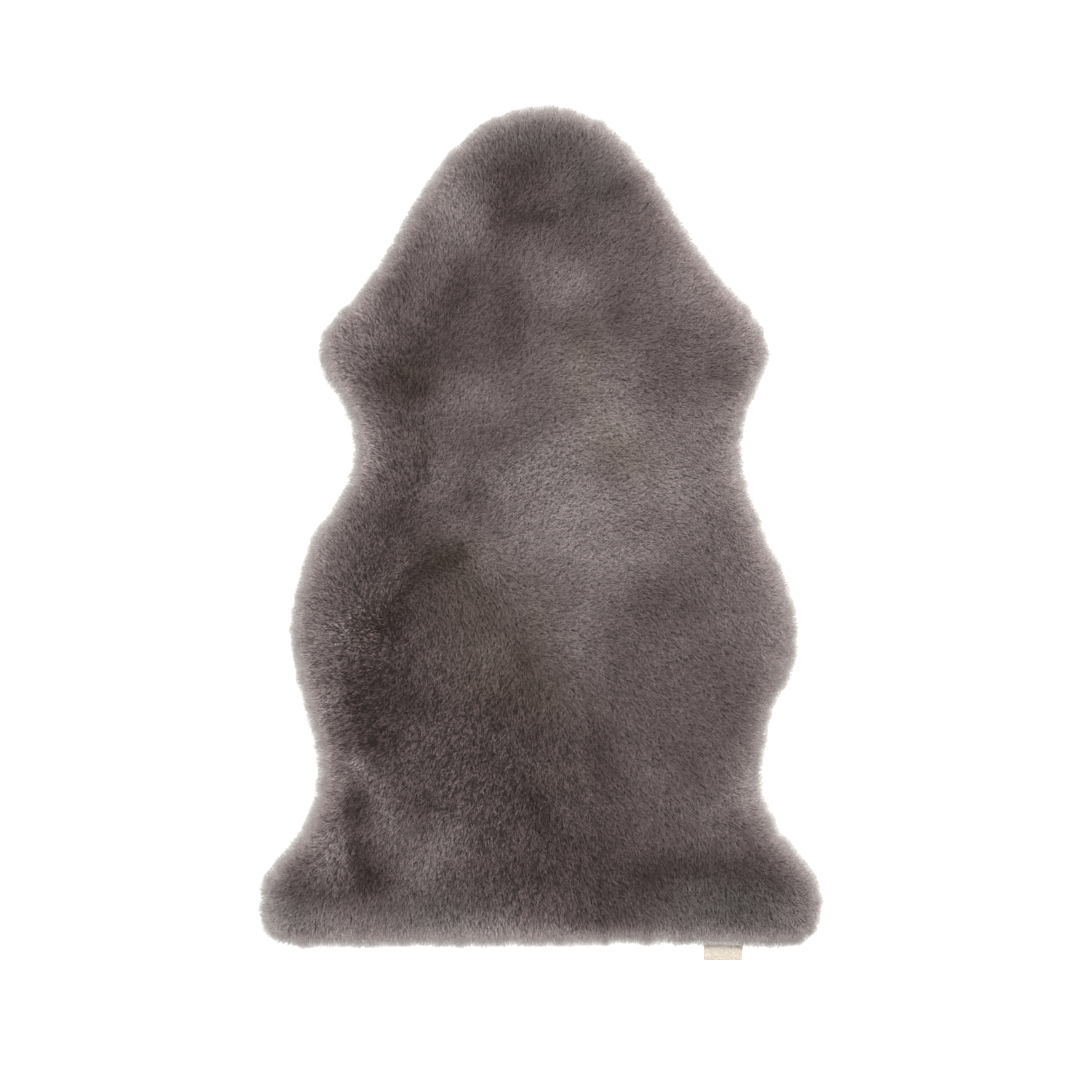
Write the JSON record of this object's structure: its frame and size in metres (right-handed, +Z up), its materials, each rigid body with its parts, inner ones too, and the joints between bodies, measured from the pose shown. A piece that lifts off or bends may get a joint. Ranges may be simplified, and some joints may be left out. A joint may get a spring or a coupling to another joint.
{
  "type": "sheepskin rug",
  "caption": "Sheared sheepskin rug in its natural outline, with dense wool on a thin hide and a bare tape label at its straight edge.",
  "frame": {"origin": "middle of the rug's bounding box, on the floor that it lies on", "axes": "+Z up out of the wool, +Y towards the narrow neck end, +X to the right seen from above with the neck away from the viewer"},
  "size_m": [0.6076, 0.9196, 0.0337],
  "materials": {
    "wool": "dense sheared wool, taupe grey with soft light and dark patches",
    "hide": "suede-like flesh side of a tanned hide, matt",
    "tape": "cream woven tape, matt"
  },
  "bodies": {
    "root": {"pelt": "wool", "label": "tape"}
  },
  "joints": []
}
